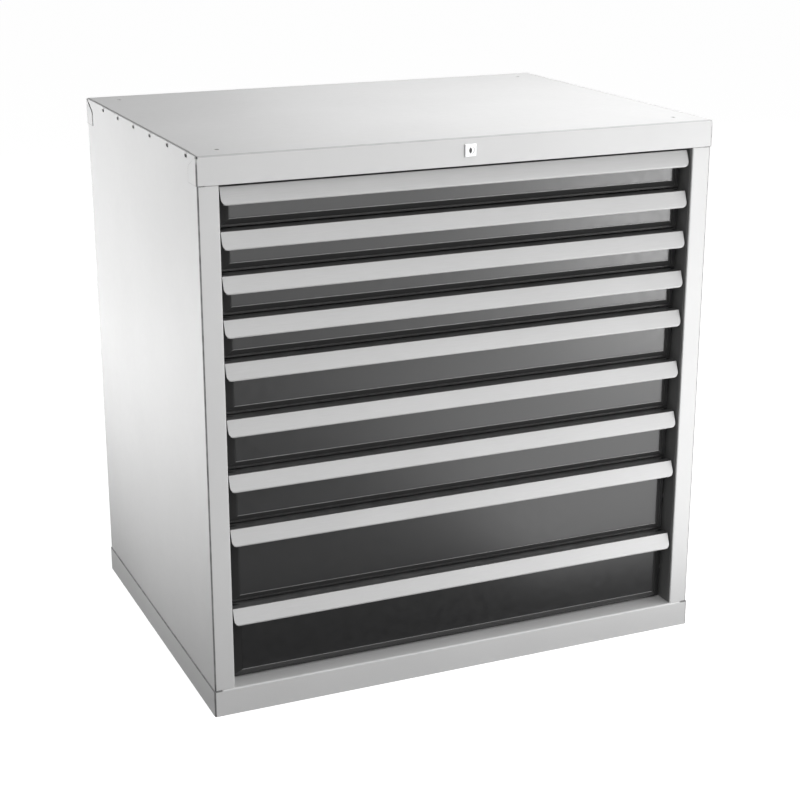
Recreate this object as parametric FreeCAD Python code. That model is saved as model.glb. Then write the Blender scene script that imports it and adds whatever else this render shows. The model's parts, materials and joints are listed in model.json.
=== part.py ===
import FreeCAD, Part
import math
import os

from FreeCAD import Vector

# Industrial drawer cabinet with nine full-width drawers, in millimetres.
# +Z is up, the drawers open towards -Y, and the origin is the middle of the footprint on the floor.
# Depths into the cabinet are distances behind the front plane, and depth() turns them into Y.

# Outer size of the cabinet
WIDTH = 975.0
DEPTH = 725.0
HEIGHT = 1000.0

# Sheet metal of the casing
SHEET = 1.5
BEND = 1.5
SEAM = 0.8
BASE_HEIGHT = 50.0
BASE_RETURN = 15.0
RAIL_HEIGHT = 49.0
RAIL_RETURN = 20.0
OPENING_HALF = 449.0
TAB_LENGTH = 44.0
TAB_SLOPE = 22.0
TAB_ROUNDING = 12.0
CORNER_RELIEF = 4.0
COVER_FLANGE = 20.0
HEM_THICKNESS = 5.0
HEM_BEND = 0.8
REAR_RETURN = 45.0
REAR_PANEL_LAP = 12.0

# Drawer heights from the top one down
DRAWER_PITCHES = [75.0, 75.0, 75.0, 75.0, 100.0, 100.0, 100.0, 150.0, 150.0]

# Drawer front: a pressed panel hung under a forward shelf
FRONT_SHEET = 1.2
FRONT_HALF = 444.5
FIELD_DEPTH = 30.0
LIP_DEPTH = 39.0
FRONT_BACK = 44.0
BEVEL_RUN = 12.0
BOTTOM_LIP = 3.5
SIDE_LIP = 7.0
SHELF_DROP = 5.0
FRONT_OVERHANG = 2.5
LOWEST_FRONT_FOOT = 2.5
FIELD_ROUNDING = 2.5

# Grip strip along the shelf's front edge
GRIP_TOP_DEPTH = 15.0
GRIP_FOOT_DEPTH = 3.5
GRIP_HEIGHT = 30.0
GRIP_SHEET = 1.5
GRIP_BEND = 1.5
GRIP_RETURN = 7.0
GRIP_CORNER = 7.0
GRIP_BACKING = 15.5

# Drawer box
BOX_SHEET = 1.0
BOX_HALF = 436.0
BOX_LENGTH = 608.0
BOX_FLOOR = 6.0
BOX_TOP_DROP = 12.0
BOX_HEM = 7.0
BOX_HEM_LIP = 5.0
BOX_BACK_DROP = 8.0

# Three-part telescopic slides; heights are above the foot of each drawer's space
SLIDE_CENTRE = 26.0
SLIDE_SHEET = 1.2
SLIDE_FRONT = 53.0
SLIDE_LENGTH = 597.0
RUNNER_HALF = 18.0
RUNNER_TIP = 439.6
MIDDLE_HALF = 15.6
MIDDLE_WEB = 446.6
MIDDLE_TIP = 438.2
RAIL_HALF = 13.2
RAIL_TIP = 444.4

# Uprights that carry the fixed runners
UPRIGHT_FRONT = 7.0
UPRIGHT_DEPTH = 60.0
UPRIGHT_FLANGE = 30.0
REAR_UPRIGHT_GAP = 6.0

# Lock in the top rail
LOCK_HEIGHT = 977.0
LOCK_PROUD = 2.5
LOCK_PLATE = 22.0
LOCK_PLATE_CHAMFER = 1.0
LOCK_BODY_R = 10.0
LOCK_BODY_FLATS = 17.0
LOCK_BODY_BACK = 30.0
LOCK_NUT_FLATS = 26.0
LOCK_NUT_THICKNESS = 5.0
BARREL_R = 7.0
BARREL_PROUD = 1.5
KEYWAY_WIDTH = 1.8
KEYWAY_HEIGHT = 8.0
KEYWAY_DEPTH = 12.0
RUNNING_GAP = 0.1

# Scroll cam on the lock, and the bar that it lets down by its pin
CAM_FRONT = 41.0
CAM_BACK = 44.5
CAM_STEPS = 6
CAM_OVERRUN = 20.0
CAM_DWELL = 25.0
CAM_HUB_END = 70.0
LATCH_DROP = 8.0
PIN_R = 2.5
PIN_FRONT = 41.5
PIN_ORBIT = 17.5
PIN_GAP = 0.3

# Locking bar and its two combs; the teeth drop in front of a catch on every drawer
COMB_FRONT = 46.0
COMB_BACK = 49.0
COMB_INNER = 453.0
COMB_OUTER = 467.0
COMB_FOOT_DROP = 12.0
TOOTH_TIP = 441.0
TOOTH_FOOT = 57.0
TOOTH_HEIGHT = 8.0
CATCH_FRONT = 51.0
CATCH_THICKNESS = 2.0
CATCH_TIP = 446.0
CATCH_FOOT = 46.5
CATCH_TOP = 55.0
CATCH_LENGTH = 12.0
CROSSBAR_FOOT = 961.0
CROSSBAR_TOP = 973.0
CROSSBAR_LUG = 15.0
WINDOW_GAP = 2.0

# Holes in the top for bolting down a worktop or a second cabinet
TOP_HOLE_R = 4.0
TOP_HOLE_HALF_X = 435.0
TOP_HOLE_HALF_Y = 310.0

# Lines that follow from the sizes above
FRONT_Y = (LOCK_PROUD - DEPTH) / 2
BACK_Y = FRONT_Y + DEPTH
SIDE_OUTER = WIDTH / 2 - SHEET
SIDE_INNER = SIDE_OUTER - SHEET
COVER_HALF = SIDE_INNER - SEAM
RAIL_FOOT = HEIGHT - RAIL_HEIGHT
OPENING_TOP = BASE_HEIGHT + sum(DRAWER_PITCHES)
GRIP_LEAN = math.atan2(GRIP_TOP_DEPTH - GRIP_FOOT_DEPTH, GRIP_HEIGHT)


# Drawing helpers


def depth(behind):
    """Y of a plane that lies this far behind the front plane."""
    return FRONT_Y + behind


def block(x0, x1, y0, y1, z0, z1):
    return Part.makeBox(x1 - x0, y1 - y0, z1 - z0, Vector(x0, y0, z0))


def cylinder_y(radius, y0, y1, x, z):
    return Part.makeCylinder(radius, y1 - y0, Vector(x, y0, z), Vector(0, 1, 0))


def mirrored(shape):
    """The same piece for the other side of the cabinet."""
    return shape.mirror(Vector(0, 0, 0), Vector(1, 0, 0))


def both_sides(solids):
    return Part.makeCompound(solids + [mirrored(solid) for solid in solids])


def raised(shape, height):
    moved = shape.copy()
    moved.translate(Vector(0, 0, height))
    return moved


def one_solid(shape):
    """The shape's single solid, without seams between coplanar faces."""
    clean = shape.removeSplitter()
    assert len(clean.Solids) == 1 and clean.isValid(), "expected one valid solid"
    return clean.Solids[0]


def rounded_run(points, radii):
    """Pieces of a polyline, as point lists, with its inner corners turned into tangent arcs."""
    pieces = []
    last = points[0]
    for corner, after, radius in zip(points[1:-1], points[2:], radii):
        if radius == 0:
            pieces.append([last, corner])
            last = corner
            continue
        incoming = (corner - last).normalize()
        outgoing = (after - corner).normalize()
        half_turn = incoming.getAngle(outgoing) / 2
        trim = radius * math.tan(half_turn)
        sagitta = radius / math.cos(half_turn) - radius
        start = corner - incoming * trim
        end = corner + outgoing * trim
        middle = corner + (outgoing - incoming).normalize() * sagitta
        pieces.append([last, start])
        pieces.append([start, middle, end])
        last = end
    pieces.append([last, points[-1]])
    return pieces


def sheet_outline(path, thickness, bends):
    """Outline of a folded sheet. The path runs along one face, with the metal on its left."""
    points = [Vector(u, v, 0) for u, v in path]
    normals = []
    for start, end in zip(points, points[1:]):
        along = (end - start).normalize()
        normals.append(Vector(-along.y, along.x, 0))
    others = [points[0] + normals[0] * thickness]
    near_radii = []
    far_radii = []
    for corner, before, after, bend in zip(points[1:-1], normals, normals[1:], bends):
        others.append(corner + (before + after) * (thickness / (1 + before.dot(after))))
        outside = bend + thickness if bend else 0
        turns_left = before.cross(after).z > 0
        near_radii.append(outside if turns_left else bend)
        far_radii.append(bend if turns_left else outside)
    others.append(points[-1] + normals[-1] * thickness)
    near = rounded_run(points, near_radii)
    far = rounded_run(others[::-1], far_radii[::-1])
    return near + [[points[-1], others[-1]]] + far + [[others[0], points[0]]]


def extrude_outline(pieces, axis, start, end):
    """Solid of an outline drawn square to an axis: in YZ for X, in XZ for Y and in XY for Z."""
    place = {
        "X": lambda p: Vector(start, p.x, p.y),
        "Y": lambda p: Vector(p.x, start, p.y),
        "Z": lambda p: Vector(p.x, p.y, start),
    }[axis]
    along = {"X": Vector(1, 0, 0), "Y": Vector(0, 1, 0), "Z": Vector(0, 0, 1)}[axis]
    edges = []
    for piece in pieces:
        ends = [place(p) for p in piece]
        curve = Part.LineSegment(*ends) if len(ends) == 2 else Part.Arc(*ends)
        edges.append(curve.toShape())
    return Part.Face(Part.Wire(edges)).extrude(along * (end - start))


def folded(path, thickness, bends, axis, start, end):
    return extrude_outline(sheet_outline(path, thickness, bends), axis, start, end)


def polygon(corners, axis, start, end):
    points = [Vector(u, v, 0) for u, v in corners]
    sides = [[a, b] for a, b in zip(points, points[1:] + points[:1])]
    return extrude_outline(sides, axis, start, end)


def channel(web, tip, half, centre, start, end):
    """C-section along Y: its web stands at one X, and its two flanges reach to the other."""
    inner = web + math.copysign(SLIDE_SHEET, tip - web)
    low = centre - half
    high = centre + half
    corners = [
        (web, low), (tip, low), (tip, low + SLIDE_SHEET), (inner, low + SLIDE_SHEET),
        (inner, high - SLIDE_SHEET), (tip, high - SLIDE_SHEET), (tip, high), (web, high),
    ]
    return polygon(corners, "Y", start, end)


def straight_edges(shape, direction, test):
    """Straight edges parallel to a direction whose midpoint passes a test."""
    found = []
    for edge in shape.Edges:
        run = edge.Vertexes[-1].Point - edge.Vertexes[0].Point
        parallel = run.Length > 0 and run.cross(direction).Length < 1e-6 * run.Length
        if parallel and test(edge.CenterOfMass):
            found.append(edge)
    return found


# Casing


def base_tray():
    """Plinth: the cabinet floor, four skirts and their returns along the ground."""
    half = WIDTH / 2
    outer = block(-half, half, FRONT_Y, BACK_Y, 0, BASE_HEIGHT)
    bends = [edge for edge in outer.Edges if edge.BoundBox.ZMax > BASE_HEIGHT - SHEET]
    outer = outer.makeFillet(SHEET + BEND, bends)
    hollow = block(
        SHEET - half, half - SHEET, FRONT_Y + SHEET, BACK_Y - SHEET, SHEET, BASE_HEIGHT - SHEET)
    window = block(
        BASE_RETURN - half, half - BASE_RETURN,
        FRONT_Y + BASE_RETURN, BACK_Y - BASE_RETURN, -SHEET, 2 * SHEET)
    return one_solid(outer.cut(hollow).cut(window))


def side_panel():
    """Right side in one sheet: the hemmed front post, the side wall and the rear return."""
    front = FRONT_Y + SHEET
    back = BACK_Y - SHEET
    path = [
        (SIDE_INNER - BEND, front + HEM_THICKNESS),
        (OPENING_HALF, front + HEM_THICKNESS),
        (OPENING_HALF, front),
        (SIDE_OUTER, front),
        (SIDE_OUTER, back),
        (SIDE_OUTER - REAR_RETURN, back),
    ]
    bends = [HEM_BEND, HEM_BEND, BEND, BEND]
    wall = folded(path, SHEET, bends, "Z", BASE_HEIGHT, HEIGHT - SEAM)
    # the post and the rear return end under the rails of the top cover
    corner = 2 * SHEET + BEND
    for y0, y1 in ((FRONT_Y, depth(RAIL_RETURN)), (BACK_Y - RAIL_RETURN, BACK_Y)):
        wall = wall.cut(block(0, SIDE_INNER, y0, y1, RAIL_FOOT - SEAM, HEIGHT))
    for y0, y1 in ((FRONT_Y, depth(corner)), (BACK_Y - corner, BACK_Y)):
        wall = wall.cut(block(0, WIDTH, y0, y1, RAIL_FOOT - SEAM, HEIGHT))
    return one_solid(wall)


def rear_panel():
    """Flat back sheet, fixed inside the rear returns."""
    half = SIDE_OUTER - REAR_RETURN + REAR_PANEL_LAP
    y = BACK_Y - 2 * SHEET
    return block(-half, half, y - SHEET, y, BASE_HEIGHT, RAIL_FOOT - SEAM)


def corner_wrap(y_outer, inward):
    """Rail face of the top cover, with the two tabs that fold round the cabinet's corners."""
    half = WIDTH / 2
    y_tab = y_outer + inward * TAB_LENGTH
    y_skin = y_outer + inward * SHEET
    outer = block(-half, half, min(y_outer, y_tab), max(y_outer, y_tab), RAIL_FOOT, HEIGHT)
    corners = straight_edges(outer, Vector(0, 0, 1), lambda p: abs(p.y - y_outer) < SHEET)
    outer = outer.makeFillet(SHEET + BEND, corners)
    inner = block(
        SHEET - half, half - SHEET, min(y_skin, y_tab), max(y_skin, y_tab), RAIL_FOOT, HEIGHT)
    corners = straight_edges(inner, Vector(0, 0, 1), lambda p: abs(p.y - y_skin) < SHEET)
    inner = inner.makeFillet(BEND, corners)
    corners = [
        (y_skin, HEIGHT), (y_tab, HEIGHT - TAB_SLOPE), (y_tab, RAIL_FOOT), (y_outer, RAIL_FOOT),
        (y_outer, HEIGHT), (y_skin, HEIGHT),
    ]
    side_view = rounded_run([Vector(u, v, 0) for u, v in corners], [TAB_ROUNDING, 0, 0, 0])
    return outer.cut(inner).common(extrude_outline(side_view, "X", -half, half))


def top_cover():
    """Lid in one sheet: front and rear rails with corner tabs, and flanges inside the side panels."""
    path = [
        (BACK_Y - RAIL_RETURN, RAIL_FOOT),
        (BACK_Y, RAIL_FOOT),
        (BACK_Y, HEIGHT),
        (FRONT_Y, HEIGHT),
        (FRONT_Y, RAIL_FOOT),
        (depth(RAIL_RETURN), RAIL_FOOT),
    ]
    lid = folded(path, SHEET, [BEND] * 4, "X", -COVER_HALF, COVER_HALF)
    flange_foot = HEIGHT - COVER_FLANGE
    flanges = [
        (COVER_HALF, flange_foot), (COVER_HALF, HEIGHT), (-COVER_HALF, HEIGHT), (-COVER_HALF, flange_foot)]
    y0 = depth(TAB_LENGTH + SHEET)
    y1 = BACK_Y - TAB_LENGTH - SHEET
    skirt = folded(flanges, SHEET, [BEND] * 2, "Y", y0, y1)
    lid = lid.cut(block(-WIDTH, WIDTH, y0, y1, flange_foot, HEIGHT)).fuse(skirt)
    rounded = block(-WIDTH, WIDTH, FRONT_Y, BACK_Y, RAIL_FOOT, HEIGHT)
    rims = straight_edges(rounded, Vector(1, 0, 0), lambda p: p.z > HEIGHT - SHEET)
    rounded = rounded.makeFillet(SHEET + BEND, rims)
    for y_outer, inward in ((FRONT_Y, 1), (BACK_Y, -1)):
        lid = lid.fuse(corner_wrap(y_outer, inward).common(rounded))
    relief = CORNER_RELIEF
    for x in (-WIDTH / 2, WIDTH / 2 - relief):
        for y in (FRONT_Y, BACK_Y - relief):
            lid = lid.cut(block(x, x + relief, y, y + relief, HEIGHT - relief, HEIGHT))
    for x in (-TOP_HOLE_HALF_X, TOP_HOLE_HALF_X):
        for y in (-TOP_HOLE_HALF_Y, TOP_HOLE_HALF_Y):
            hole = Part.makeCylinder(TOP_HOLE_R, 3 * SHEET, Vector(x, y, HEIGHT - 2 * SHEET))
            lid = lid.cut(hole)
    return one_solid(lid.cut(lock_body(FRONT_Y - SHEET, FRONT_Y + 2 * SHEET)))


# Inner frame


def upright(y0):
    """C-section upright of the right side, open outwards, with its web flush with the opening."""
    tip = OPENING_HALF + UPRIGHT_FLANGE
    y1 = y0 + UPRIGHT_DEPTH
    path = [(tip, y1), (OPENING_HALF, y1), (OPENING_HALF, y0), (tip, y0)]
    return folded(path, SHEET, [BEND] * 2, "Z", BASE_HEIGHT, HEIGHT - SHEET)


def front_upright(drawer_feet):
    """Front upright with one window for each tooth of the comb and one for the crossbar."""
    post = upright(depth(UPRIGHT_FRONT))
    post = post.cut(block(0, WIDTH, FRONT_Y, depth(RAIL_RETURN + SEAM), RAIL_FOOT - SEAM, HEIGHT))
    spans = [(CROSSBAR_FOOT - LATCH_DROP, CROSSBAR_TOP)]
    for foot in drawer_feet:
        tooth = foot + TOOTH_FOOT
        spans.append((tooth - LATCH_DROP, tooth + TOOTH_HEIGHT))
    for low, high in spans:
        post = post.cut(block(
            OPENING_HALF - SHEET, OPENING_HALF + 2 * SHEET,
            depth(COMB_FRONT - WINDOW_GAP), depth(COMB_BACK + WINDOW_GAP),
            low - WINDOW_GAP, high + WINDOW_GAP))
    return one_solid(post)


def rear_upright():
    post = upright(BACK_Y - REAR_UPRIGHT_GAP - UPRIGHT_DEPTH)
    return one_solid(post.cut(block(0, WIDTH, BACK_Y - RAIL_RETURN - SEAM, BACK_Y, RAIL_FOOT - SEAM, HEIGHT)))


def runners(drawer_feet):
    """Fixed members of the slides on the right side, one for each drawer."""
    runner = channel(
        OPENING_HALF, RUNNER_TIP, RUNNER_HALF, SLIDE_CENTRE,
        depth(SLIDE_FRONT), depth(SLIDE_FRONT + SLIDE_LENGTH))
    return Part.makeCompound([raised(runner, foot) for foot in drawer_feet])


# Lock and locking bar


def lock_body(y0, y1):
    """Round bar with two flats, which keep the housing from turning in the rail."""
    flats = LOCK_BODY_FLATS / 2
    bar = cylinder_y(LOCK_BODY_R, y0, y1, 0, LOCK_HEIGHT)
    return bar.common(block(
        -flats, flats, y0, y1, LOCK_HEIGHT - LOCK_BODY_R, LOCK_HEIGHT + LOCK_BODY_R))


def lock_housing():
    """Square escutcheon and threaded body, bored for the barrel."""
    half = LOCK_PLATE / 2
    plate = block(
        -half, half, depth(-LOCK_PROUD), FRONT_Y, LOCK_HEIGHT - half, LOCK_HEIGHT + half)
    rim = [edge for edge in plate.Edges if edge.BoundBox.YMax < FRONT_Y - SHEET]
    plate = plate.makeChamfer(LOCK_PLATE_CHAMFER, rim)
    body = lock_body(FRONT_Y - SHEET, depth(LOCK_BODY_BACK))
    bore = cylinder_y(
        BARREL_R + RUNNING_GAP, FRONT_Y - 2 * LOCK_PROUD, depth(LOCK_BODY_BACK + SHEET), 0, LOCK_HEIGHT)
    return one_solid(plate.fuse(body).cut(bore))


def lock_nut():
    """Hexagonal nut that clamps the lock housing to the rail."""
    radius = LOCK_NUT_FLATS / math.sqrt(3)
    angles = [math.radians(60 * turn) for turn in range(6)]
    corners = [(radius * math.cos(a), LOCK_HEIGHT + radius * math.sin(a)) for a in angles]
    seat = depth(SHEET)
    nut = polygon(corners, "Y", seat, seat + LOCK_NUT_THICKNESS)
    return nut.cut(cylinder_y(LOCK_BODY_R, seat - SHEET, seat + 2 * LOCK_NUT_THICKNESS, 0, LOCK_HEIGHT))


def lock_barrel():
    """Turning barrel with its keyway upright."""
    barrel = cylinder_y(BARREL_R, depth(-BARREL_PROUD), depth(CAM_FRONT), 0, LOCK_HEIGHT)
    rim = [edge for edge in barrel.Edges if edge.BoundBox.YMax < FRONT_Y]
    barrel = barrel.makeChamfer(RUNNING_GAP * 4, rim)
    keyway = block(
        -KEYWAY_WIDTH / 2, KEYWAY_WIDTH / 2,
        depth(-2 * BARREL_PROUD), depth(KEYWAY_DEPTH),
        LOCK_HEIGHT - KEYWAY_HEIGHT / 2, LOCK_HEIGHT + KEYWAY_HEIGHT / 2)
    return one_solid(barrel.cut(keyway))


def cam_flank():
    """Points of the scroll: the path of the bar's pin round the cam, set in by pin and gap.

    In the cam's own frame the pin starts straight above the axis, runs to its left, and comes
    nearer at a steady rate, so that a quarter turn lets the bar down by LATCH_DROP. The scroll
    goes on a little past the quarter turn, so that the pin stays clear of the hub.
    """
    rate = LATCH_DROP / (math.pi / 2)
    sweep = math.pi / 2 + math.radians(CAM_OVERRUN)
    flank = []
    for step in range(CAM_STEPS + 1):
        angle = sweep * step / CAM_STEPS
        orbit = PIN_ORBIT - rate * angle
        outward = Vector(-math.sin(angle), 0, math.cos(angle))
        onward = Vector(-math.cos(angle), 0, -math.sin(angle))
        tangent = (onward * orbit - outward * rate).normalize()
        inward = Vector(-tangent.z, 0, tangent.x)
        flank.append(outward * orbit + inward * (PIN_R + PIN_GAP))
    return flank


def lock_cam():
    """Scroll cam at the back of the barrel: scroll, dwell, straight back and hub."""
    centre = Vector(0, depth(CAM_FRONT), LOCK_HEIGHT)
    flank = cam_flank()

    def rim_point(radius, clockwise):
        angle = math.radians(clockwise)
        return Vector(radius * math.sin(angle), 0, radius * math.cos(angle))

    crest = flank[0].Length
    hub = flank[-1].Length
    crest_start = math.degrees(math.atan2(flank[0].x, flank[0].z))
    hub_end = 360 + math.degrees(math.atan2(flank[-1].x, flank[-1].z))
    crest_end = rim_point(crest, CAM_DWELL)
    hub_start = rim_point(hub, CAM_HUB_END)
    scroll = Part.BSplineCurve()
    scroll.interpolate([centre + point for point in flank])
    dwell = Part.Arc(
        centre + flank[0], centre + rim_point(crest, (crest_start + CAM_DWELL) / 2), centre + crest_end)
    back = Part.LineSegment(centre + crest_end, centre + hub_start)
    round_hub = Part.Arc(
        centre + hub_start, centre + rim_point(hub, (CAM_HUB_END + hub_end) / 2), centre + flank[-1])
    rim = [curve.toShape() for curve in (scroll, dwell, back, round_hub)]
    wire = Part.Wire(Part.__sortEdges__(rim))
    return one_solid(Part.Face(wire).extrude(Vector(0, CAM_BACK - CAM_FRONT, 0)))


def locking_crossbar():
    """Flat bar behind the top rail, with a lug that rises behind the cam."""
    y0 = depth(COMB_FRONT)
    y1 = depth(COMB_BACK)
    pin_height = LOCK_HEIGHT + PIN_ORBIT
    bar = block(-COMB_INNER, COMB_INNER, y0, y1, CROSSBAR_FOOT, CROSSBAR_TOP)
    lug = block(-CROSSBAR_LUG, CROSSBAR_LUG, y0, y1, CROSSBAR_FOOT, pin_height + PIN_R + SEAM)
    hole = cylinder_y(PIN_R, y0 - SHEET, y1 + SHEET, 0, pin_height)
    return one_solid(bar.fuse(lug).cut(hole))


def cam_pin():
    """Pin riveted in the lug; it rides on the scroll of the cam."""
    return cylinder_y(PIN_R, depth(PIN_FRONT), depth(COMB_BACK), 0, LOCK_HEIGHT + PIN_ORBIT)


def locking_comb(drawer_feet):
    """Right comb: a strip inside the front upright, with a tooth welded on for each drawer."""
    y0 = depth(COMB_FRONT)
    y1 = depth(COMB_BACK)
    foot = min(drawer_feet) + TOOTH_FOOT - COMB_FOOT_DROP
    strip = block(COMB_INNER, COMB_OUTER, y0, y1, foot, CROSSBAR_TOP)
    tooth = block(TOOTH_TIP, COMB_INNER, y0, y1, TOOTH_FOOT, TOOTH_FOOT + TOOTH_HEIGHT)
    return Part.makeCompound([strip] + [raised(tooth, drawer_foot) for drawer_foot in drawer_feet])


# Drawers, drawn with the foot of their space at Z 0


def drawer_pan(inset, shelf_height, lip_foot):
    """Outer form of the pressed panel, or with an inset the hollow behind its sheet."""
    rise = LIP_DEPTH - FIELD_DEPTH
    shift = inset * (math.hypot(rise, BEVEL_RUN) - BEVEL_RUN) / rise
    top = shelf_height - inset

    def rectangle(y, half, foot):
        corners = [
            Vector(-half, y, foot), Vector(half, y, foot), Vector(half, y, top), Vector(-half, y, top)]
        return Part.makePolygon(corners + corners[:1])

    bevel_half = FRONT_HALF - SIDE_LIP - shift
    bevel_foot = lip_foot + BOTTOM_LIP + shift
    lip = rectangle(depth(LIP_DEPTH + inset), bevel_half, bevel_foot)
    field = rectangle(depth(FIELD_DEPTH + inset), bevel_half - BEVEL_RUN, bevel_foot + BEVEL_RUN)
    crown = Part.makeLoft([lip, field], True, True)
    half = FRONT_HALF - inset
    rim = block(
        -half, half, depth(LIP_DEPTH + inset), depth(FRONT_BACK + inset), lip_foot + inset, top)
    if inset == 0:
        bends = [edge for edge in crown.Edges if edge.BoundBox.YMax < depth(FIELD_DEPTH) + SHEET]
        bends = [edge for edge in bends if edge.BoundBox.ZMin < top - SHEET]
        crown = crown.makeFillet(FIELD_ROUNDING, bends)
    return crown.fuse(rim)


def drawer_front(pitch, lip_foot):
    """Pressed front with bevelled borders, the shelf above it and the plate that backs the grip strip."""
    top = pitch - SHELF_DROP
    pan = drawer_pan(0, top, lip_foot).cut(drawer_pan(FRONT_SHEET, top, lip_foot))
    # the front edges of both plates lie against the leaning rear face of the strip
    lean_sine = math.sin(GRIP_LEAN)
    lean_cosine = math.cos(GRIP_LEAN)
    underside = top - FRONT_SHEET
    edge_top = depth(GRIP_TOP_DEPTH + GRIP_SHEET / lean_cosine)
    edge_foot = edge_top - FRONT_SHEET * lean_sine / lean_cosine
    shelf = polygon(
        [
            (depth(FIELD_DEPTH), underside), (depth(FIELD_DEPTH), top),
            (edge_top, top), (edge_foot, underside),
        ],
        "X", -FRONT_HALF, FRONT_HALF)
    backing_y = edge_foot - GRIP_BACKING * lean_sine
    backing_z = underside - GRIP_BACKING * lean_cosine
    backing = polygon(
        [
            (edge_foot, underside), (backing_y, backing_z),
            (backing_y + FRONT_SHEET * lean_cosine, backing_z - FRONT_SHEET * lean_sine),
            (edge_foot + FRONT_SHEET / lean_cosine, underside),
        ],
        "X", -FRONT_HALF, FRONT_HALF)
    return Part.makeCompound([one_solid(pan), shelf, backing])


def drawer_handle(pitch):
    """Full-width grip strip: a leaning face with a returned foot and rounded lower corners."""
    top = pitch - SHELF_DROP
    foot = top - GRIP_HEIGHT
    path = [
        (depth(GRIP_TOP_DEPTH), top),
        (depth(GRIP_FOOT_DEPTH), foot),
        (depth(GRIP_FOOT_DEPTH + GRIP_RETURN), foot),
    ]
    strip = folded(path, GRIP_SHEET, [GRIP_BEND], "X", -FRONT_HALF, FRONT_HALF)
    # what lies outside the rounded corner, drawn square to the face and leaned with it
    near = FRONT_HALF - GRIP_CORNER
    waste = block(near, FRONT_HALF + 1, -GRIP_CORNER, 2 * GRIP_CORNER, -1, GRIP_CORNER)
    waste = waste.cut(cylinder_y(GRIP_CORNER, -GRIP_CORNER, 2 * GRIP_CORNER, near, GRIP_CORNER))
    waste.rotate(Vector(0, 0, 0), Vector(1, 0, 0), -math.degrees(GRIP_LEAN))
    waste.translate(Vector(0, depth(GRIP_FOOT_DEPTH), foot))
    return one_solid(strip.cut(waste).cut(mirrored(waste)))


def drawer_box(pitch):
    """Open tray with hemmed side walls, with a slide member and a lock catch on each side."""
    top = pitch - BOX_TOP_DROP
    y0 = depth(FRONT_BACK)
    y1 = y0 + BOX_LENGTH
    hem = BOX_HALF - BOX_HEM
    path = [
        (-hem, top - BOX_HEM_LIP), (-hem, top), (-BOX_HALF, top), (-BOX_HALF, BOX_FLOOR),
        (BOX_HALF, BOX_FLOOR), (BOX_HALF, top), (hem, top), (hem, top - BOX_HEM_LIP),
    ]
    sharp = [0] * (len(path) - 2)
    tray = folded(path, BOX_SHEET, sharp, "Y", y0, y1)
    inner = BOX_HALF - BOX_SHEET / 2
    floor = BOX_FLOOR + BOX_SHEET / 2
    front_wall = block(-inner, inner, y0, y0 + BOX_SHEET, floor, top - BOX_SHEET / 2)
    back_wall = block(-inner, inner, y1 - BOX_SHEET, y1, floor, top - BOX_BACK_DROP)
    catch = block(
        BOX_HALF, CATCH_TIP, depth(CATCH_FRONT), depth(CATCH_FRONT + CATCH_THICKNESS),
        CATCH_FOOT, CATCH_TOP)
    foot = block(
        BOX_HALF, BOX_HALF + CATCH_THICKNESS,
        depth(CATCH_FRONT), depth(CATCH_FRONT + CATCH_LENGTH), CATCH_FOOT, CATCH_TOP)
    catch = one_solid(catch.fuse(foot))
    rail = channel(
        BOX_HALF, RAIL_TIP, RAIL_HALF, SLIDE_CENTRE,
        depth(SLIDE_FRONT), depth(SLIDE_FRONT + SLIDE_LENGTH))
    tray = one_solid(tray.fuse([front_wall, back_wall]))
    return Part.makeCompound([tray, both_sides([rail, catch])])


def slide_middle():
    """Middle members of one drawer's pair of slides."""
    middle = channel(
        MIDDLE_WEB, MIDDLE_TIP, MIDDLE_HALF, SLIDE_CENTRE,
        depth(SLIDE_FRONT), depth(SLIDE_FRONT + SLIDE_LENGTH))
    return both_sides([middle])


# The whole cabinet


def drawer_parts(feet):
    """Nodes of every drawer, numbered from the top."""
    parts = {}
    lowest = len(DRAWER_PITCHES)
    for number, (pitch, foot) in enumerate(zip(DRAWER_PITCHES, feet), 1):
        lip_foot = LOWEST_FRONT_FOOT if number == lowest else -FRONT_OVERHANG
        parts[f"drawer_{number}_front"] = raised(drawer_front(pitch, lip_foot), foot)
        parts[f"drawer_{number}_handle"] = raised(drawer_handle(pitch), foot)
        parts[f"drawer_{number}_box"] = raised(drawer_box(pitch), foot)
        parts[f"slide_middle_{number}"] = raised(slide_middle(), foot)
    return parts


def cabinet():
    feet = []
    level = OPENING_TOP
    for pitch in DRAWER_PITCHES:
        level -= pitch
        feet.append(level)
    right_side = side_panel()
    right_front_upright = front_upright(feet)
    right_rear_upright = rear_upright()
    right_runners = runners(feet)
    right_comb = locking_comb(feet)
    parts = {
        "base_tray": base_tray(),
        "side_panel_right": right_side,
        "side_panel_left": mirrored(right_side),
        "rear_panel": rear_panel(),
        "top_cover": top_cover(),
        "front_upright_right": right_front_upright,
        "front_upright_left": mirrored(right_front_upright),
        "rear_upright_right": right_rear_upright,
        "rear_upright_left": mirrored(right_rear_upright),
        "runners_right": right_runners,
        "runners_left": mirrored(right_runners),
        "lock_housing": lock_housing(),
        "lock_nut": lock_nut(),
        "lock_barrel": lock_barrel(),
        "lock_cam": lock_cam(),
        "locking_crossbar": locking_crossbar(),
        "cam_pin": cam_pin(),
        "locking_comb_right": right_comb,
        "locking_comb_left": mirrored(right_comb),
    }
    parts.update(drawer_parts(feet))
    return parts


os.makedirs("parts", exist_ok=True)
for name, shape in cabinet().items():
    shape.exportStep(f"parts/{name}.step")
    print(name, len(shape.Solids), "solids", round(shape.Volume / 1000, 1), "cm3")
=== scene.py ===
import json
import math

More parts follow.
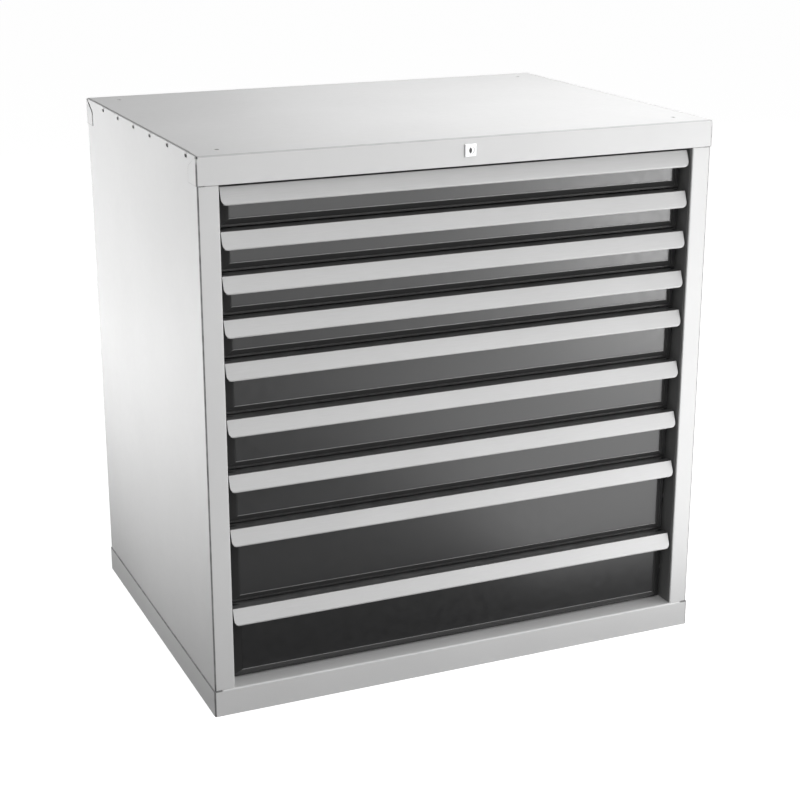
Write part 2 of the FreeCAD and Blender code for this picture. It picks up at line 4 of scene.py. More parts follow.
import bmesh
import bpy
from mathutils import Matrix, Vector


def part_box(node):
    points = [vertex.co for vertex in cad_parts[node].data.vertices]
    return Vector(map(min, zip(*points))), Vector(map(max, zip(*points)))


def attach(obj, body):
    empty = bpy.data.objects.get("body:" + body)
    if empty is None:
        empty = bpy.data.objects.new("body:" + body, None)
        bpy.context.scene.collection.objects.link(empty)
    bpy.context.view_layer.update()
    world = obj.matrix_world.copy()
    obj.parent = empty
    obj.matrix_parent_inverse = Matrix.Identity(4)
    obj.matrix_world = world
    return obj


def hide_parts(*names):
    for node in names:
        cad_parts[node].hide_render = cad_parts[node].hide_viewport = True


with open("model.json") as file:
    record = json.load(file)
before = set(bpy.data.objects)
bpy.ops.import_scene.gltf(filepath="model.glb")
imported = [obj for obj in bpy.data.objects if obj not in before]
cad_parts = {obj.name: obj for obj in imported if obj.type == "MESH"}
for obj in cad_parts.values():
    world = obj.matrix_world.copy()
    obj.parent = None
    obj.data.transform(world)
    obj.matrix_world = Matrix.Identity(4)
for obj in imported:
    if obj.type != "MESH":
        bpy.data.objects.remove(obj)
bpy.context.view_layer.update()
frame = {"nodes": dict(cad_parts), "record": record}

NODES = frame["nodes"]

# Sizes that the pieces share with the solids
MM = 0.001
FRONT_Y = -361.25 * MM
BACK_Y = 363.75 * MM
SIDE_X = 486.0 * MM

# Joining marks in the top edge of the sides
MARK_COUNT = 6
MARK_FIRST = 58 * MM
MARK_PITCH = 107.5 * MM
MARK_Z = 992.5 * MM
MARK_RADIUS = 2.7 * MM
MARK_HALF = 3.6 * MM
MARK_SLIT = 2.2 * MM
MARK_STEPS = 12

# Lower corners of the grip strips
GRIP_ROUND = 12 * MM
GRIP_SETBACK = 11.5 * MM
GRIP_HEIGHT = 30 * MM
GRIP_STEPS = 10

DRAWERS = 9

# Slots for dividers in the drawer boxes
SLOT_WIDTH = 3 * MM
SLOT_PITCH = 17 * MM
SLOT_RISE = 9 * MM
SLOT_DROP = 9 * MM
SLOTS_EACH_WAY = 24
SIDE_SLOTS = 33
SIDE_SLOT_FIRST = 32 * MM
SIDE_SLOT_RISE = 37 * MM
BACK_DROP = 8 * MM

# Rim round the keyway
LOCK_Z = 977 * MM
RIM_WIDTH = 5.2 * MM
RIM_HEIGHT = 9.6 * MM
RIM_PROUD = 0.3 * MM
RIM_SUNK = 0.1 * MM
RIM_STEPS = 32
KEYWAY = 1.8 * MM
KEYWAY_DROP = 4 * MM
KEYWAY_RISE = 4 * MM

# Screws of the rear panel
SCREW_COUNT = 6
SCREW_X = 447 * MM
SCREW_FIRST = 90 * MM
SCREW_PITCH = 164 * MM
SCREW_SEAT = 1.5 * MM
SCREW_PROFILE = [
    (radius * MM, out * MM)
    for radius, out in ((4.2, -0.2), (4.2, 0.5), (3.8, 1.0), (2.9, 1.35), (1.4, 1.5))]
CROSS_LENGTH = 4.2 * MM
CROSS_WIDTH = 1.1 * MM
CROSS_FLOOR = 0.5 * MM
LATHE_STEPS = 24

# Mesh work, with angles in degrees
WELD = 0.001 * MM
FLAT_ANGLE = 0.5
SHARP_ANGLE = 30

# Radius over which the finishes round their edges, and the width of the painted shade line on the outer bends
PAINT_EDGE = 0.9 * MM
METAL_EDGE = 0.7 * MM
ZINC_EDGE = 0.5 * MM
PRESSED_EDGE = 3.5 * MM
DARK_BEND_WIDTH = 2.2 * MM

# Fineness of the noise in the powder coat, per metre
DRIFT = 5.0
WAVES = 3.2
PEEL = 420.0
GRAIN = 2600.0
SATIN = 60.0

# Depth of the relief
WAVES_DEPTH = 4 * MM
PEEL_DEPTH = 0.05 * MM
GRAIN_DEPTH = 0.015 * MM
BRUSH_DEPTH = 0.02 * MM
ROLL_DEPTH = 0.01 * MM

# Floor and background
FLOOR_HALF = 20.0
FLOOR_TONE = 0.10
FLOOR_TONE_SEEN = 0.30
FLOOR_GLOW_SEEN = 0.93
WORLD_STRENGTH = 0.18

# Camera at the photograph's viewpoint, with angles in degrees and the lens and sensor in millimetres
CAMERA_PLACE = (-1.2865, -3.0193, 1.482)
CAMERA_DOWN = 17.9
CAMERA_TURN = -23.5
CAMERA_LENS = 78.1
SENSOR = 36.0


# Materials


class Finish:
    """A Principled material, with short ways to add nodes and to link them."""

    def __init__(self, name):
        self.material = bpy.data.materials.new(name)
        self.material.use_nodes = True
        self.nodes = self.material.node_tree.nodes
        self.links = self.material.node_tree.links
        self.shader = self.nodes["Principled BSDF"]
        self.place = self.nodes.new("ShaderNodeTexCoord").outputs["Object"]

    def put(self, source, target):
        """Links an output to an input, or sets the input to a value."""
        if isinstance(source, bpy.types.NodeSocket):
            self.links.new(source, target)
        else:
            target.default_value = source

    def noise(self, scale, detail=2.0, stretch=None):
        place = self.place
        if stretch is not None:
            mapping = self.nodes.new("ShaderNodeMapping")
            mapping.inputs["Scale"].default_value = stretch
            self.links.new(place, mapping.inputs["Vector"])
            place = mapping.outputs["Vector"]
        node = self.nodes.new("ShaderNodeTexNoise")
        self.links.new(place, node.inputs["Vector"])
        node.inputs["Scale"].default_value = scale
        node.inputs["Detail"].default_value = detail
        return node.outputs["Fac"]

    def cells(self, scale):
        node = self.nodes.new("ShaderNodeTexVoronoi")
        self.links.new(self.place, node.inputs["Vector"])
        node.inputs["Scale"].default_value = scale
        return node.outputs["Color"]

    def spread(self, value, low, high, to_low=0.0, to_high=1.0):
        """Maps a range of a value to another range, clamped."""
        node = self.nodes.new("ShaderNodeMapRange")
        self.links.new(value, node.inputs["Value"])
        node.inputs["From Min"].default_value = low
        node.inputs["From Max"].default_value = high
        node.inputs["To Min"].default_value = to_low
        node.inputs["To Max"].default_value = to_high
        return node.outputs["Result"]

    def math(self, operation, a, b):
        node = self.nodes.new("ShaderNodeMath")
        node.operation = operation
        self.put(a, node.inputs[0])
        self.put(b, node.inputs[1])
        return node.outputs["Value"]

    def product(self, *values):
        result = values[0]
        for value in values[1:]:
            result = self.math("MULTIPLY", result, value)
        return result

    def mixture(self, a, b, share_of_a=0.5):
        """Weighted mean of two values."""
        return self.math("ADD", self.product(a, share_of_a), self.product(b, 1 - share_of_a))

    def blend(self, share, a, b):
        """Mixes two colours."""
        node = self.nodes.new("ShaderNodeMix")
        node.data_type = "RGBA"
        self.put(share, node.inputs["Factor"])
        self.put(a, node.inputs["A"])
        self.put(b, node.inputs["B"])
        return node.outputs["Result"]

    def tint(self, share, colour, low, high):
        """Colour times a grey that runs with the share from low to high."""
        dark = [channel * low for channel in colour] + [1.0]
        light = [min(channel * high, 1.0) for channel in colour] + [1.0]
        return self.blend(share, dark, light)

    def bump(self, height, distance, strength, normal):
        """The normal with a relief on it."""
        node = self.nodes.new("ShaderNodeBump")
        node.inputs["Distance"].default_value = distance
        node.inputs["Strength"].default_value = strength
        self.links.new(height, node.inputs["Height"])
        self.links.new(normal, node.inputs["Normal"])
        return node.outputs["Normal"]

    def soft_edges(self, radius):
        """Normals rounded over the edges, and a mask that is 1 on the edges."""
        bevel = self.nodes.new("ShaderNodeBevel")
        bevel.samples = 4
        bevel.inputs["Radius"].default_value = radius
        flat = self.nodes.new("ShaderNodeNewGeometry").outputs["True Normal"]
        dot = self.nodes.new("ShaderNodeVectorMath")
        dot.operation = "DOT_PRODUCT"
        self.links.new(bevel.outputs["Normal"], dot.inputs[0])
        self.links.new(flat, dot.inputs[1])
        return bevel.outputs["Normal"], self.spread(dot.outputs["Value"], 0.80, 0.97, 1.0, 0.0)

    def axis(self, vector, name):
        """One coordinate of a vector output."""
        node = self.nodes.new("ShaderNodeSeparateXYZ")
        self.links.new(vector, node.inputs["Vector"])
        return node.outputs[name]

    def facing(self, name):
        """How far the surface faces along an axis."""
        return self.axis(self.nodes.new("ShaderNodeNewGeometry").outputs["Normal"], name)

    def size_of(self, value):
        return self.math("ABSOLUTE", value, 0.0)

    def rough_share(self, scale, low, high):
        """Uneven share between two values."""
        return self.spread(self.noise(scale, detail=3.0), 0.35, 0.65, low, high)

    def shaded_outer_bends(self):
        """1 on the bends at the outer sides of the cabinet, and less on those of the top: where a painted
        shade line stands for the dark reflection along these bends.
        """
        across, along, rise = [self.size_of(self.facing(name)) for name in "XYZ"]
        turned = self.math("ADD", self.product(across, along), self.product(along, rise))
        turned = self.math("ADD", turned, self.product(across, rise))
        bend = self.math("MAXIMUM", self.spread(turned, 0.06, 0.25), self.soft_edges(DARK_BEND_WIDTH)[1])
        height = self.axis(self.place, "Z")
        beyond = self.spread(self.size_of(self.axis(self.place, "X")), 0.470, 0.474)
        beyond = self.product(beyond, self.spread(height, 0.985, 0.992, 1.0, 0.35))
        above = self.spread(height, 0.988, 0.992, 0.0, 0.35)
        return self.product(bend, self.math("MAXIMUM", beyond, above), self.rough_share(45.0, 0.75, 1.0))

    def slopes(self):
        """1 on the pressed slopes round the fields of the drawer fronts, which are painted lighter as painted
        light.
        """
        forwards = self.size_of(self.facing("Y"))
        return self.product(self.spread(forwards, 0.93, 0.86), self.spread(forwards, 0.45, 0.6))

    def lit_lower_bends(self):
        """1 on the rounded bends that face forwards and down, which get a painted highlight in place of the
        bright floor they reflect.
        """
        rise = self.facing("Z")
        upper = self.spread(rise, -0.12, -0.03, 1.0, 0.0)
        return self.product(upper, self.spread(rise, -0.60, -0.52), self.rough_share(60.0, 0.75, 1.0))

    def lit_tops(self):
        """1 on the faces that look up, which are painted lighter as painted light from above."""
        return self.product(self.spread(self.facing("Z"), 0.6, 0.9), self.rough_share(35.0, 0.7, 1.0))


def grey(tone):
    return (tone, tone, tone, 1.0)


def lighter(colour, times):
    return [min(channel * times, 1.0) for channel in colour] + [1.0]


def powder_coat(
        name, colour, roughness, specular, edge_wear_highlight_tone, edge_share,
        outer_shade_tone=None, slope_light_tone=None, bend_highlight_tone=None, top_light_tone=None, rounding=None):
    """Satin powder coat: orange peel, fine grain, slow drift of tone, lighter edges that are partly wear
    where it lies thin and partly painted highlight, and masks for painted shade, painted highlight and
    painted light.
    """
    finish = Finish(name)
    shader = finish.shader
    grain = finish.noise(GRAIN, detail=1.0)
    normal, edge = finish.soft_edges(PAINT_EDGE)
    if rounding is not None:
        normal = finish.soft_edges(rounding)[0]
    mottle = finish.mixture(finish.noise(DRIFT, detail=3.0), grain, 0.6)
    base = finish.tint(finish.spread(mottle, 0.3, 0.7), colour, 0.965, 1.035)
    # Lighter edges: partly wear where the coat lies thin, partly painted highlight.
    wear_and_highlight = finish.product(edge, finish.rough_share(190.0, 0.35 * edge_share, edge_share))
    # Painted light: the pressed slopes get a lighter tone.
    if slope_light_tone is not None:
        base = finish.blend(finish.slopes(), base, grey(slope_light_tone))
    base = finish.blend(wear_and_highlight, base, grey(edge_wear_highlight_tone))
    # Painted shade on the outer bends, painted highlight on the lower bends and painted light on the faces
    # that look up.
    masks = ((outer_shade_tone, finish.shaded_outer_bends), (bend_highlight_tone, finish.lit_lower_bends), (top_light_tone, finish.lit_tops))
    for tone, mask in masks:
        if tone is not None:
            base = finish.blend(mask(), base, grey(tone))
    finish.put(base, shader.inputs["Base Color"])
    satin = finish.spread(finish.noise(SATIN, detail=4.0), 0.3, 0.7, roughness - 0.03, roughness + 0.03)
    finish.put(finish.math("SUBTRACT", satin, finish.product(wear_and_highlight, 0.1)), shader.inputs["Roughness"])
    shader.inputs["Specular IOR Level"].default_value = specular
    normal = finish.bump(finish.noise(WAVES, detail=1.0), WAVES_DEPTH, 0.05, normal)
    normal = finish.bump(finish.noise(PEEL), PEEL_DEPTH, 0.35, normal)
    finish.put(finish.bump(grain, GRAIN_DEPTH, 0.4, normal), shader.inputs["Normal"])
    return finish.material


def brushed(name, colour, roughness, stretch, line_scale, metallic):
    """Metal with fine lines along one direction."""
    finish = Finish(name)
    shader = finish.shader
    lines = finish.noise(line_scale, detail=3.0, stretch=stretch)
    normal, edge = finish.soft_edges(METAL_EDGE)
    mottle = finish.mixture(lines, finish.noise(7.0, detail=3.0), 0.6)
    base = finish.tint(finish.spread(mottle, 0.35, 0.65), colour, 0.95, 1.04)
    base = finish.blend(finish.product(edge, 0.5), base, lighter(colour, 1.2))
    finish.put(base, shader.inputs["Base Color"])
    gloss = finish.spread(lines, 0.3, 0.7, roughness - 0.05, roughness + 0.05)
    finish.put(gloss, shader.inputs["Roughness"])
    shader.inputs["Metallic"].default_value = metallic
    finish.put(finish.bump(lines, BRUSH_DEPTH, 0.3, normal), shader.inputs["Normal"])
    return finish.material


def zinc(name, colour):
    """Zinc plated steel: faint crystals, rolling lines and uneven gloss."""
    finish = Finish(name)
    shader = finish.shader
    crystals = finish.cells(160.0)
    lines = finish.noise(900.0, stretch=(1, 0.04, 1))
    normal, edge = finish.soft_edges(ZINC_EDGE)
    base = finish.tint(finish.spread(finish.mixture(crystals, lines), 0.2, 0.8), colour, 0.88, 1.08)
    base = finish.blend(finish.product(edge, 0.4), base, lighter(colour, 1.25))
    finish.put(base, shader.inputs["Base Color"])
    finish.put(finish.spread(crystals, 0.0, 1.0, 0.34, 0.48), shader.inputs["Roughness"])
    shader.inputs["Metallic"].default_value = 1.0
    finish.put(finish.bump(lines, ROLL_DEPTH, 0.4, normal), shader.inputs["Normal"])
    return finish.material


# The casing's outer bends get a painted shade line, a dark tone of 0.14.
casing_paint = powder_coat("casing_paint", (0.62, 0.62, 0.62), 0.46, 0.4, 0.70, 0.5, outer_shade_tone=0.14)
# The black fronts get a painted highlight on their lower bends, and painted light on their pressed slopes and
# on faces that look up.
black_paint = powder_coat(
    "black_paint", (0.010, 0.010, 0.0105), 0.33, 0.85, 0.20, 0.8,
    slope_light_tone=0.035, bend_highlight_tone=0.26, top_light_tone=0.13, rounding=PRESSED_EDGE)
upright_paint = powder_coat("upright_paint", (0.19, 0.19, 0.19), 0.50, 0.4, 0.20, 0.5)
box_paint = powder_coat("box_paint", (0.022, 0.022, 0.024), 0.42, 0.5, 0.10, 0.6)
grip_aluminium = brushed("grip_aluminium", (0.52, 0.52, 0.52), 0.48, (0.02, 1, 1), 1400.0, 0.10)
zinc_steel = zinc("zinc_steel", (0.50, 0.51, 0.53))
lock_chrome = brushed("lock_chrome", (0.78, 0.78, 0.79), 0.34, (1, 1, 0.08), 2200.0, 0.6)

SLOT_MATERIALS = {
    "casing_paint": casing_paint,
    "black_paint": black_paint,
    "box_paint": box_paint,
    "grip_aluminium": grip_aluminium,
    "zinc_steel": zinc_steel,
    "lock_chrome": lock_chrome,
}
for subpart in frame["record"]["subparts"]:
    mesh = NODES[subpart["node"]].data
    mesh.materials.clear()
    mesh.materials.append(SLOT_MATERIALS[subpart["material_slot"]])
for side in ("right", "left"):
    NODES[f"front_upright_{side}"].data.materials[0] = upright_paint


# Pieces cut from the solids' meshes


def add_box(shape, low, high):
    """Adds a box to a bmesh."""
    for vertex in bmesh.ops.create_cube(shape, size=1.0)["verts"]:
        vertex.co = Vector([a + (share + 0.5) * (b - a) for share, a, b in zip(vertex.co, low, high)])


def add_span(shape, near, far):
    """Adds a closed form to a bmesh: two outlines of as many points, and the faces between them."""
    near = [shape.verts.new(point) for point in near]
    far = [shape.verts.new(point) for point in far]
    shape.faces.new(near)
    shape.faces.new(far[::-1])
    count = len(near)
    for index in range(count):
        after = (index + 1) % count
        shape.faces.new((near[after], near[index], far[index], far[after]))


def add_prism(shape, outline, x0, x1):
    """Adds a prism along X to a bmesh, from an outline of (y, z) points."""
    add_span(shape, [(x0, y, z) for y, z in outline], [(x1, y, z) for y, z in outline])


def welded(node):
    """A CAD node's mesh as a bmesh, with its corners joined and its flat faces whole."""
    shape = bmesh.new()
    shape.from_mesh(NODES[node].data)
    bmesh.ops.remove_doubles(shape, verts=shape.verts, dist=WELD)
    bmesh.ops.dissolve_limit(
        shape, angle_limit=math.radians(FLAT_ANGLE), verts=shape.verts, edges=shape.edges,
        use_dissolve_boundaries=False)
    return shape


def split_off(shape, keep):
    """Takes the loose parts that don't pass the test out of a bmesh, and returns them as another."""
    other = shape.copy()
    for mesh, wanted in ((shape, True), (other, False)):
        seen = set()
        gone = []
        for start in mesh.verts:
            if start in seen:
                continue
            island = {start}
            ahead = [start]
            while ahead:
                vertex = ahead.pop()
                for link in vertex.link_edges:
                    neighbour = link.other_vert(vertex)
                    if neighbour not in island:
                        island.add(neighbour)
                        ahead.append(neighbour)
            seen |= island
            if keep([vertex.co for vertex in island]) != wanted:
                gone.extend(island)
        bmesh.ops.delete(mesh, geom=gone, context="VERTS")
    return other


def evaluated(piece):
    """Applies a piece's modifiers, and returns the new mesh."""
    graph = bpy.context.evaluated_depsgraph_get()
    mesh = bpy.data.meshes.new_from_object(piece.evaluated_get(graph), depsgraph=graph)
    piece.modifiers.clear()
    piece.data = mesh
    return mesh


def make_piece(name, shape, material, body, slot, *cutters):
    """A piece from a bmesh, less the cutters' shapes, shaded smooth over its bends and riding on a body."""
    mesh = bpy.data.meshes.new(name)
    shape.to_mesh(mesh)
    shape.free()
    if "custom_normal" in mesh.attributes:
        mesh.attributes.remove(mesh.attributes["custom_normal"])
    piece = bpy.data.objects.new(name, mesh)
    bpy.context.scene.collection.objects.link(piece)
    for cutter in cutters:
        bmesh.ops.recalc_face_normals(cutter, faces=cutter.faces)
        tool_mesh = bpy.data.meshes.new(name + "_cutter")
        cutter.to_mesh(tool_mesh)
        cutter.free()
        tool = bpy.data.objects.new(name + "_cutter", tool_mesh)
        bpy.context.scene.collection.objects.link(tool)
        cut = piece.modifiers.new("cut", "BOOLEAN")
        cut.operation = "DIFFERENCE"
        cut.solver = "EXACT"
        cut.object = tool
        mesh = evaluated(piece)
        bpy.data.objects.remove(tool)
    for polygon in mesh.polygons:
        polygon.use_smooth = True
    mesh.set_sharp_from_angle(angle=math.radians(SHARP_ANGLE))
    weighted = piece.modifiers.new("weighted", "WEIGHTED_NORMAL")
    weighted.keep_sharp = True
    mesh = evaluated(piece)
    mesh.materials.clear()
    mesh.materials.append(material)
    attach(piece, body)
    return piece


def oblong(y):
    """Outline of a joining hole with round ends, as (y, z) points round it."""
    outline = []
    for step in range(2 * MARK_STEPS):
        angle = math.pi * (step + 0.5) / MARK_STEPS
        shift = MARK_HALF if math.cos(angle) > 0 else -MARK_HALF
        outline.append((y + shift + MARK_RADIUS * math.cos(angle), MARK_Z + MARK_RADIUS * math.sin(angle)))
    return outline


def mark_places():
    return [FRONT_Y + MARK_FIRST + number * MARK_PITCH for number in range(MARK_COUNT)]


def side_skin(side, sign):
    """Side panel with the row of joining holes along its top edge, each with a slit up to the edge."""
    node = f"side_panel_{side}"
    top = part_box(node)[1].z
    cutter = bmesh.new()
    slits = bmesh.new()
    near, far = sorted((sign * (SIDE_X - 2 * MM), sign * (SIDE_X + MM)))
    for y in mark_places():
        add_prism(cutter, oblong(y), near, far)
        start = y - MARK_HALF - MARK_SLIT / 2
        add_box(slits, (near, start, MARK_Z), (far, start + MARK_SLIT, top + MM))
    piece = make_piece(
        f"side_skin_{side}", welded(node), casing_paint, "cabinet", "casing_paint", cutter, slits)
    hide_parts(node)


def cover_skin():
    """Top cover with the joining holes carried on through its turned down flanges."""
    cutter = bmesh.new()
    for sign in (-1, 1):
        near, far = sorted((sign * (SIDE_X - 6 * MM), sign * (SIDE_X - 1.4 * MM)))
        for y in mark_places():
            add_prism(cutter, oblong(y), near, far)
    piece = make_piece("cover_skin", welded("top_cover"), casing_paint, "cabinet", "casing_paint", cutter)
    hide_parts("top_cover")


def grip_strip(number):
    """Grip strip with its lower corners rounded wider, square to its leaning face."""
    node = f"drawer_{number}_handle"
    low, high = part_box(node)
    lean = math.atan2(GRIP_SETBACK, GRIP_HEIGHT)
    up = Vector((0, math.sin(lean), math.cos(lean)))
    back = Vector((0, math.cos(lean), -math.sin(lean)))
    foot = Vector((0, low.y, low.z))
    cutter = bmesh.new()
    for sign in (-1, 1):
        outline = [(GRIP_ROUND + MM, -MM), (GRIP_ROUND + MM, GRIP_ROUND)]
        for step in range(GRIP_STEPS + 1):
            angle = math.pi / 2 * step / GRIP_STEPS
            outline.append((GRIP_ROUND * math.cos(angle), GRIP_ROUND * (1 - math.sin(angle))))
        outline.append((0, -MM))
        ends = []
        for depth in (-GRIP_ROUND, 2 * GRIP_ROUND):
            ends.append([])
            for across, rise in outline:
                corner = foot + up * rise + back * depth
                corner.x = sign * (high.x - GRIP_ROUND + across)
                ends[-1].append(corner)
        add_span(cutter, *ends)
    piece = make_piece(
        f"drawer_{number}_grip", welded(node), grip_aluminium, f"drawer_{number}", "grip_aluminium", cutter)
    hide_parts(node)


def slotted_tray(number):
    """Drawer box with slots for dividers in its walls, and its slide members and catches in zinc."""
    node = f"drawer_{number}_box"
    low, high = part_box(node)
    shape = welded(node)
    members = split_off(shape, lambda corners: min(c.x for c in corners) < 0 < max(c.x for c in corners))
    tray_low = Vector([min(vertex.co[axis] for vertex in shape.verts) for axis in range(3)])
    tray_high = Vector([max(vertex.co[axis] for vertex in shape.verts) for axis in range(3)])
    cutter = bmesh.new()
    half = SLOT_WIDTH / 2
    top = tray_high.z - SLOT_DROP
    for count in range(-SLOTS_EACH_WAY, SLOTS_EACH_WAY + 1):
        x = count * SLOT_PITCH
        for y, top_here in ((tray_low.y, top), (tray_high.y, top - BACK_DROP)):
            add_box(cutter, (x - half, y - 2 * MM, tray_low.z + SLOT_RISE), (x + half, y + 2 * MM, top_here))
    for count in range(SIDE_SLOTS):
        y = tray_low.y + SIDE_SLOT_FIRST + count * SLOT_PITCH
        for sign in (-1, 1):
            x = sign * tray_high.x
            add_box(cutter, (x - 2 * MM, y - half, tray_low.z + SIDE_SLOT_RISE), (x + 2 * MM, y + half, top))
    body = f"drawer_{number}"
    tray = make_piece(f"drawer_{number}_tray", shape, box_paint, body, "box_paint", cutter)
    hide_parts(node)
    make_piece(f"drawer_{number}_slide_members", members, zinc_steel, body, "zinc_steel")


def add_lathe(shape, centre, profile):
    """Adds a turned form to a bmesh: (radius, distance out of the back) points from rim to middle."""
    rings = []
    for radius, out in profile:
        ring = []
        for step in range(LATHE_STEPS):
            angle = 2 * math.pi * step / LATHE_STEPS
            x, z = centre[0] + radius * math.cos(angle), centre[2] + radius * math.sin(angle)
            ring.append(shape.verts.new((x, centre[1] + out, z)))
        rings.append(ring)
    for inner, outer in zip(rings[1:], rings):
        for step in range(LATHE_STEPS):
            after = (step + 1) % LATHE_STEPS
            shape.faces.new((outer[step], inner[step], inner[after], outer[after]))
    shape.faces.new(rings[0])
    shape.faces.new(rings[-1][::-1])


def cross(x, z):
    """Outline of a cross recess, as (x, z) points round it."""
    long, short = CROSS_LENGTH / 2, CROSS_WIDTH / 2
    arms = [
        (-long, -short), (-short, -short), (-short, -long), (short, -long), (short, -short), (long, -short),
        (long, short), (short, short), (short, long), (-short, long), (-short, short), (-long, short)]
    return [(x + across, z + rise) for across, rise in arms]


def rear_screws():
    """Pan head screws with cross recesses, which hold the rear panel to the returns of the sides."""
    seat = BACK_Y - SCREW_SEAT
    heads = bmesh.new()
    cutter = bmesh.new()
    for x in (-SCREW_X, SCREW_X):
        for count in range(SCREW_COUNT):
            z = SCREW_FIRST + count * SCREW_PITCH
            add_lathe(heads, (x, seat, z), SCREW_PROFILE)
            ends = [[(a, y, b) for a, b in cross(x, z)] for y in (seat + CROSS_FLOOR, BACK_Y + MM)]
            add_span(cutter, *ends)
    bmesh.ops.recalc_face_normals(heads, faces=heads.faces)
    make_piece("rear_panel_screws", heads, zinc_steel, "cabinet", "zinc_steel", cutter)


def keyway_rim():
    """Dark oval rim round the keyway in the face of the barrel, with its slot left open."""
    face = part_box("lock_barrel")[0].y
    outline = []
    for step in range(RIM_STEPS):
        angle = 2 * math.pi * step / RIM_STEPS
        outline.append((RIM_WIDTH / 2 * math.cos(angle), LOCK_Z + RIM_HEIGHT / 2 * math.sin(angle)))
    rim = bmesh.new()
    add_span(rim, *[[(x, y, z) for x, z in outline] for y in (face - RIM_PROUD, face + RIM_SUNK)])
    bmesh.ops.recalc_face_normals(rim, faces=rim.faces)
    slot = bmesh.new()
    half = KEYWAY / 2
    add_box(slot, (-half, face - MM, LOCK_Z - KEYWAY_DROP), (half, face + MM, LOCK_Z + KEYWAY_RISE))
    make_piece("lock_keyway_rim", rim, black_paint, "lock", "black_paint", slot)


for side, sign in (("right", 1), ("left", -1)):
    side_skin(side, sign)
cover_skin()
for number in range(1, DRAWERS + 1):
    slotted_tray(number)
    grip_strip(number)
rear_screws()
keyway_rim()


# Floor, lights and camera


def floor_material():
    """Pale studio floor: the camera sees it near white, and other rays see a greyer floor."""
    material = bpy.data.materials.new("studio_floor")
    material.use_nodes = True
    nodes = material.node_tree.nodes
    links = material.node_tree.links
    shader = nodes["Principled BSDF"]
    shader.inputs["Roughness"].default_value = 0.9
    shader.inputs["Specular IOR Level"].default_value = 0.1
    ray = nodes.new("ShaderNodeLightPath")
    tone = nodes.new("ShaderNodeMix")
    tone.data_type = "RGBA"
    tone.inputs["A"].default_value = grey(FLOOR_TONE)
    tone.inputs["B"].default_value = grey(FLOOR_TONE_SEEN)
    links.new(ray.outputs["Is Camera Ray"], tone.inputs["Factor"])
    links.new(tone.outputs["Result"], shader.inputs["Base Color"])
    shader.inputs["Emission Color"].default_value = (1, 1, 1, 1)
    glow = nodes.new("ShaderNodeMath")
    glow.operation = "MULTIPLY"
    glow.inputs[1].default_value = FLOOR_GLOW_SEEN
    links.new(ray.outputs["Is Camera Ray"], glow.inputs[0])
    links.new(glow.outputs["Value"], shader.inputs["Emission Strength"])
    return material


def make_floor():
    mesh = bpy.data.meshes.new("studio_floor")
    corners = [(FLOOR_HALF * x, FLOOR_HALF * y, 0) for x, y in ((-1, -1), (1, -1), (1, 1), (-1, 1))]
    mesh.from_pydata(corners, [], [(0, 1, 2, 3)])
    floor = bpy.data.objects.new("studio_floor", mesh)
    bpy.context.scene.collection.objects.link(floor)
    mesh.materials.append(floor_material())


def make_world():
    """Even white light; the camera sees it as plain white."""
    world = bpy.data.worlds.new("studio")
    world.use_nodes = True
    nodes = world.node_tree.nodes
    links = world.node_tree.links
    background = nodes["Background"]
    background.inputs["Color"].default_value = (1, 1, 1, 1)
    ray = nodes.new("ShaderNodeLightPath")
    level = nodes.new("ShaderNodeMapRange")
    level.inputs["To Min"].default_value = WORLD_STRENGTH
    level.inputs["To Max"].default_value = 1.0
    links.new(ray.outputs["Is Camera Ray"], level.inputs["Value"])
    links.new(level.outputs["Result"], background.inputs["Strength"])
    bpy.context.scene.world = world


def softbox(name, place, aim, width, height, power):
    """A rectangular light that the camera doesn't see."""
    light = bpy.data.lights.new(name, "AREA")
    light.shape = "RECTANGLE"
    light.size = width
    light.size_y = height
    light.energy = power
    holder = bpy.data.objects.new(name, light)
    holder.location = place
    holder.rotation_euler = (Vector(aim) - Vector(place)).to_track_quat("-Z", "Y").to_euler()
    holder.visible_camera = False
    bpy.context.scene.collection.objects.link(holder)


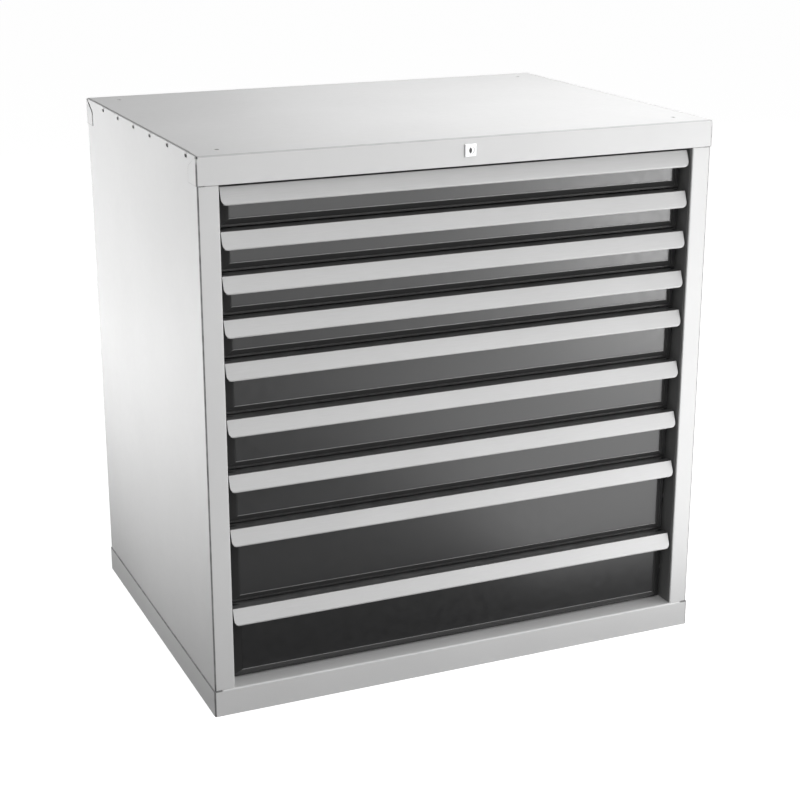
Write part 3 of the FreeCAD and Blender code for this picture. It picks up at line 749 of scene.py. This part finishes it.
# Name, place, aim, width, height and power
SOFTBOXES = [
    ("left_strip", (-1.7, 0.3, 0.75), (-0.48, 0.0, 0.75), 1.6, 0.3, 13.4),
    ("left_back", (-1.7, 2.0, 0.7), (-0.48, 0.2, 0.7), 1.2, 0.8, 1.7),
    ("left_floor", (-1.6, 1.2, 0.02), (-1.6, 1.201, 1.0), 1.2, 2.4, 34.0),
    ("left_front_floor", (-1.7, -1.6, 0.02), (-1.7, -1.601, 1.0), 1.6, 1.6, 8.0),
    ("front_high", (-0.4, -3.6, 3.4), (0.0, -0.3, 0.6), 2.5, 2.0, 44.0),
    ("front_wide", (1.3, -4.5, 1.2), (0.0, -0.3, 0.6), 4.6, 2.0, 36.0),
    ("front_low", (0.5, -4.4, 0.30), (-0.1, -0.36, 0.8), 2.6, 0.6, 16.0),
    ("front_floor", (0.0, -0.95, 0.02), (0.0, -0.951, 1.0), 2.2, 0.5, 1.0),
    ("right_floor", (1.1, -1.4, 0.02), (1.1, -1.401, 1.0), 1.6, 1.6, 15.0),
    ("right_near", (1.6, -1.9, 0.4), (0.2, -0.36, 0.3), 0.9, 0.7, 17.0),
    ("back_right", (2.4, 3.4, 1.9), (0.2, 0.2, 1.0), 3.0, 2.0, 18.0),
    ("back_wide", (0.5, 5.0, 2.2), (0.0, 0.0, 1.0), 7.0, 2.5, 35.0),
    ("top_right", (2.6, -0.8, 3.0), (0.2, -0.2, 0.8), 2.0, 2.0, 50.0),
    ("top_near", (0.6, -0.3, 2.0), (0.2, -0.1, 1.0), 0.8, 0.8, 9.6),
]
make_floor()
make_world()
for row in SOFTBOXES:
    softbox(*row)

camera_data = bpy.data.cameras.new("camera")
camera_data.lens = CAMERA_LENS
camera_data.sensor_width = SENSOR
camera = bpy.data.objects.new("camera", camera_data)
camera.location = CAMERA_PLACE
camera.rotation_euler = (math.radians(90 - CAMERA_DOWN), 0, math.radians(CAMERA_TURN))
bpy.context.scene.collection.objects.link(camera)
bpy.context.scene.camera = camera
bpy.context.scene.view_settings.view_transform = "Standard"
